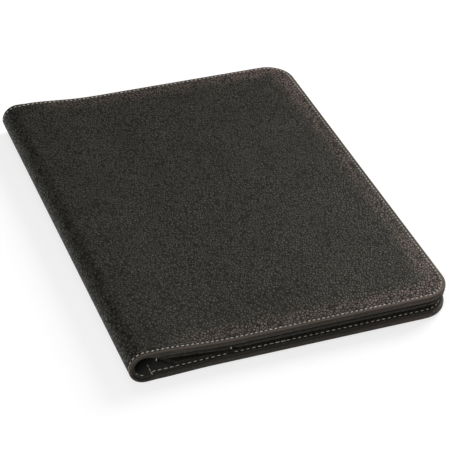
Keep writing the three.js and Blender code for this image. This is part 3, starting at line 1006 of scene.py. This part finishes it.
def card_strip():
    """A strip along the gutter, with slots for cards."""
    panel = make_panel(POCKET_START, STRIP_END, -FRONT_HALF, FRONT_HALF)
    width, height = STRIP_WIDTH - 2 * STRIP_CORE, 2 * (FRONT_HALF - STRIP_CORE)
    slot_x = [((STRIP_WIDTH + way * SLOT_LENGTH) / 2 - STRIP_CORE) / width for way in (-1, 1)]
    pitch = 2 * FRONT_HALF / SLOTS
    lows = [(i + SLOT_PLACE) * pitch - STRIP_CORE for i in range(SLOTS)]
    slot_y = [(low / height, (low + SLOT_WIDTH) / height) for low in lows]
    f = np.unique(np.concatenate([shares(width), slot_x]).round(6))
    h = np.unique(np.concatenate([shares(height), np.ravel(slot_y)]).round(6))
    fx, hy = (f[:-1] + f[1:]) / 2, (h[:-1] + h[1:]) / 2
    inside_x = (fx > slot_x[0]) & (fx < slot_x[1])
    inside_y = np.any([(hy > low) & (hy < high) for low, high in slot_y], axis=0)
    pocket_panel("card_strip_panel", "front", "card_strip", panel,
                 raised(strip_floor, STRIP_LEVEL, strip_roll), STRIP_CORE, f=f, h=h,
                 gone=inside_x[:, None] & inside_y[None, :])


# Spine: a lower and an upper half, each with the distance across at which it starts
SPINE_HALVES = (("lower", -HALF_TURN), ("upper", -QUARTER_TURN))


def spine_profile(half, outer, inner, radius, insets, rows, sewn=False):
    """A closed profile: over the outer face from the low edge to the high one, and back inside."""
    y = np.concatenate([-half + np.array(insets[::-1]), rows[1:-1], half - np.array(insets)])
    inset = half - np.abs(y)
    dip = groove(inset) if sewn else 0 * inset
    face = outer + dip + round_over(inset, radius)
    back = inner - round_over(inset, radius) - INNER_GROOVE * dip
    return list(zip(y, face)) + list(zip(y[::-1], back[::-1]))


def hinge_blend(piece):
    """Bakes the piece's placement into its mesh."""
    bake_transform(piece)


def spine_pieces():
    rows = -HALF_HEIGHT + CROWN_WIDTH + 2 * (HALF_HEIGHT - CROWN_WIDTH) * ROWS
    skin_profile = spine_profile(HALF_HEIGHT, 0.0, SPINE_LEATHER, HEM_RADIUS, OUTER_INSETS, rows,
                                 sewn=True)
    top = SPINE_LEATHER + LAYER_GAP
    insets = [INNER_CORE] + in_mm(6, 2, 0.5, 0.1, 0)
    rows = np.linspace(INNER_CORE - INNER_HALF, INNER_HALF - INNER_CORE, LINING_STEPS)
    inner_profile = spine_profile(INNER_HALF, top, top + SPINE_LINING, 0.3 * MM, insets, rows)
    for part, start in SPINE_HALVES:
        mesh = band("spine_skin_" + part, start, skin_profile)
        skin = add_piece(mesh, "leather")
        mark_edges(skin)
        inner = add_piece(band("spine_inner_" + part, start, inner_profile), "lining")
        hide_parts("spine_leather")
        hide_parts("spine_lining")
        hinge_blend(skin)
        hinge_blend(inner)


def pen_loop():
    """An elastic band bent into a loop, with its tail sewn to the pocket's edge."""
    floor, outer = LOOP_LOW.z, (LOOP_HIGH.z - LOOP_LOW.z) / 2
    x, z = LOOP_LOW.x + outer, floor + outer
    ys = np.linspace(LOOP_LOW.y, LOOP_HIGH.y, 8 * LOOP_RIBS + 1)
    ripple = np.abs(np.sin((ys - ys[0]) / (ys[-1] - ys[0]) * math.pi * LOOP_RIBS))
    edge = round_over(np.minimum(ys - ys[0], ys[-1] - ys), LOOP_ROUND)
    sunk = RIB_HEIGHT * (1 - ripple) + edge
    build = Builder()

    def profile(ends, flat):
        row = [np.stack(np.broadcast_arrays(end_x, ys, end_z), -1) for end_x, end_z in ends]
        row = np.concatenate([row[0], row[1][::-1]])
        return build.add(row, np.stack([np.full(len(row), flat), row[:, 1]], -1))

    loops = []
    for turn in np.linspace(0, 2 * math.pi, LOOP_STEPS + 1)[:-1]:
        reaches = outer - sunk, outer - LOOP_BAND + sunk
        ends = [(x + reach * math.cos(turn), z + reach * math.sin(turn)) for reach in reaches]
        loops.append(profile(ends, turn * outer))
    build.sheet(loops + loops[:1])
    tail = [profile([(end, floor + LOOP_BAND - sunk), (end, floor + sunk)], end)
            for end in np.linspace(x, LOOP_HIGH.x, TAIL_STEPS + 1)]
    build.sheet(tail)
    build.cap(tail)
    piece = add_piece(build.mesh("pen_loop_band"), "elastic")
    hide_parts("pen_loop")
    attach(piece, "back_cover")


def pad_pages():
    """The pad's sheets, each a little out of line with the next."""
    rng = np.random.default_rng(7)
    build = Builder()
    thick = (SHEETS_HIGH.z - SHEETS_LOW.z) / PAGES
    square = (0, 0), (1, 0), (1, 1), (0, 1)
    for i in range(PAGES):
        slip = rng.uniform(0, PAGE_SLIP, 4)
        x = [SHEETS_LOW.x + slip[0], SHEETS_HIGH.x - slip[1]]
        y = [SHEETS_LOW.y + slip[2], SHEETS_HIGH.y - slip[3] * 0.2]
        z = [SHEETS_LOW.z + i * thick, SHEETS_LOW.z + (i + PAGE_FILL) * thick]
        corners = np.array([(x[a], y[b], z[c]) for c in (0, 1) for a, b in square])
        ids = build.add(corners, corners[:, :2])
        build.strip(ids[:4], ids[4:], closed=True)
        build.faces.append(tuple(ids[:4]))
        build.faces.append(tuple(ids[4:]))
    piece = add_piece(build.mesh("pad_pages"), "paper")
    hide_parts("pad_sheets")
    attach(piece, "writing_pad")


# Seams of the covers, the spine's ends and the pockets


def sew(name, side, path, surface, seed, **looks):
    piece = add_piece(stitches(name, side, path, surface, seed, **looks), "thread")
    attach(piece, side + "_cover")


def inner_surface(side, across, along):
    """Depth of what the inner seams lie on: the turned edge, the lining, a pocket panel or the card
    strip."""
    if abs(along) > INNER_HALF:
        return float(hem_face(across, along, HALF_HEIGHT - abs(along)))
    if side == "back" and along > POCKET_HIGH.y:
        return float(lining_face(across)) - PRESSED
    if across < PANEL_START[side]:
        return float(lining_face(across))
    floor, rolled = pocket_floor, pocket_roll if side == "front" else no_roll
    if side == "front" and across < STRIP_END:
        floor, rolled = strip_floor, strip_roll
    return float(floor(across) + pocket_thickness(across) + rolled(across))


def inner_seams(side):
    """The seam round the inner panels, and those that hold their edges along the gutter. The front
    also has tacks at its panels' ends, the back an oversewn stretch and bar tacks."""
    start = PANEL_START[side]
    surface = lambda across, along: inner_surface(side, across, along)
    gaps = (start, START_CLEARANCE), (STRIP_END, STRIP_CLEARANCE)
    path = [spot for spot in seam_path(INNER, INNER_INSET, INNER_PITCH)
            if all(abs(spot[0] - edge) > clearance for edge, clearance in gaps)]
    line, tacks = start + PANEL_SEAM, []
    if side == "front":
        far = INNER_HALF - SEAM_END
        for across in (line, STRIP_END - PANEL_SEAM):
            path += straight_path(across, -far, across, far, INNER_PITCH)
            deep = inner_surface(side, across, far)
            tacks += [(across, way * FRONT_HALF, deep - TACK_LENGTH, deep) for way in (-1, 1)]
    else:
        row = INNER_INSET - INNER_HALF
        path += straight_path(OVERSEWN[0], row, OVERSEWN[1], row, INNER_PITCH)
        edge = HALF_HEIGHT - SEAM_END
        for foot in (-edge, edge - BAR_TACK):
            path += straight_path(line, foot, line, foot + BAR_TACK, INNER_PITCH)
    sew(side + "_inner_stitches", side, path, surface, 5, tacks=tacks, **INNER_LOOKS)


def spine_seams(part, start, where, reach, pitch, depth, middle_depth, slot, looks):
    """The seams at the two ends of half the spine, on one of its faces."""
    path = []
    for along in (-reach, reach):
        path += straight_path(start, along, start + QUARTER_TURN, along, pitch)
    name = "spine_" + where + "_stitches_" + part
    mesh = stitches(name, "front", path, lambda across, along: depth, **looks)
    hinge_blend(add_piece(mesh, "thread"))


def seams():
    for side in ("front", "back"):
        outer = outer_face(side)
        surface = lambda across, along: float(outer(across, along, STITCH_INSET))
        path = seam_path(COVER, STITCH_INSET, STITCH_PITCH)
        sew(side + "_outer_stitches", side, path, surface, 3)
        inner_seams(side)
    inner_depth = SPINE_LEATHER + LAYER_GAP + SPINE_LINING
    for half in SPINE_HALVES:
        spine_seams(*half, "outer", HALF_HEIGHT - STITCH_INSET, STITCH_PITCH, GROOVE,
                    SPINE_LEATHER / 2, "spine_leather", {"seed": 9})
        spine_seams(*half, "inner", INNER_HALF - INNER_INSET, SPINE_PITCH, inner_depth,
                    inner_depth, "lining", {"seed": 4, **INNER_LOOKS})


for side in ("back", "front"):
    cover_skin(side)
    cover_foam(side)
    inner_lining(side)
pad_pocket()
document_pocket()
card_strip()
spine_pieces()
pen_loop()
pad_pages()
seams()
for node, material in (("back_board", "board"), ("front_board", "board"), ("pad_backing", "card"),
                       ("pad_binding", "tape")):
    for slot in frame["nodes"][node].material_slots:
        slot.link = "OBJECT"
        slot.material = MATERIALS[material]

# Floor, lights and camera
FLOOR_REACH = 6.0
FLOOR_Z = -0.3 * MM
FLOOR_COLOUR = (0.42, 0.42, 0.42, 1)
FLOOR_GLOW = 0.7
WORLD_LIGHT = 0.15


def floor():
    """A pale floor that looks white to the camera, apart from the shadow on it."""
    mesh = bpy.data.meshes.new("floor")
    r = FLOOR_REACH
    mesh.from_pydata([(-r, -r, 0), (r, -r, 0), (r, r, 0), (-r, r, 0)], [], [(0, 1, 2, 3)])
    piece = add_object(mesh)
    piece.location.z = FLOOR_Z
    s = Shader("white_floor")
    seen = s.node("ShaderNodeLightPath").outputs
    share = s.math("ADD", seen["Is Camera Ray"], seen["Is Glossy Ray"])
    share = s.math("ADD", share, seen["Is Transmission Ray"], clamp=True)
    mesh.materials.append(s.finish(
        Base_Color=FLOOR_COLOUR, Roughness=0.9, Specular_IOR_Level=0.1,
        Emission_Color=(1, 1, 1, 1), Emission_Strength=s.math("MULTIPLY", share, FLOOR_GLOW)))


def lamp(name, spot, target, size, power):
    light = bpy.data.lights.new(name, "AREA")
    light.shape = "DISK"
    light.size = size
    light.energy = power
    holder = add_object(light)
    holder.location = spot
    holder.rotation_euler = (Vector(target) - Vector(spot)).to_track_quat("-Z", "Y").to_euler()


def sky():
    world = bpy.data.worlds.new("studio")
    world.use_nodes = True
    background = world.node_tree.nodes["Background"]
    background.inputs["Color"].default_value = (1, 1, 1, 1)
    background.inputs["Strength"].default_value = WORLD_LIGHT
    bpy.context.scene.world = world


# The camera was fitted to the object's outline in the photograph.
CAMERA_AZIMUTH = math.radians(-21.866)
CAMERA_ELEVATION = math.radians(36.225)
CAMERA_ROLL = math.radians(2.211)
CAMERA_DISTANCE = 1.3916
CAMERA_TARGET = (-0.0006, -0.02405, 0.010)
CAMERA_LENS = 147.41
CAMERA_SENSOR = 36
CAMERA_CLIP = (0.05, 30)


def camera():
    data = bpy.data.cameras.new("camera")
    data.lens = CAMERA_LENS
    data.sensor_width = CAMERA_SENSOR
    data.clip_start, data.clip_end = CAMERA_CLIP
    holder = add_object(data)
    az, el = CAMERA_AZIMUTH, CAMERA_ELEVATION
    back = Vector((math.sin(az) * math.cos(el), -math.cos(az) * math.cos(el), math.sin(el)))
    right = (-back).cross(Vector((0, 0, 1))).normalized()
    up = right.cross(-back)
    c, s = math.cos(CAMERA_ROLL), math.sin(CAMERA_ROLL)
    right, up = right * c + up * s, up * c - right * s
    holder.matrix_world = Matrix((right, up, back)).transposed().to_4x4()
    holder.location = Vector(CAMERA_TARGET) + back * CAMERA_DISTANCE
    bpy.context.scene.camera = holder


floor()
sky()
lamp("key", (0.9, 0.4, 0.7), (0.02, -0.03, 0.02), 0.7, 11.5)
lamp("fill", (-0.9, -1.0, 0.9), (0, 0, 0), 1.0, 9)
lamp("top", (-0.3, 0.5, 1.8), (0, 0, 0), 1.0, 3)
camera()
bpy.context.scene.view_settings.view_transform = "Standard"
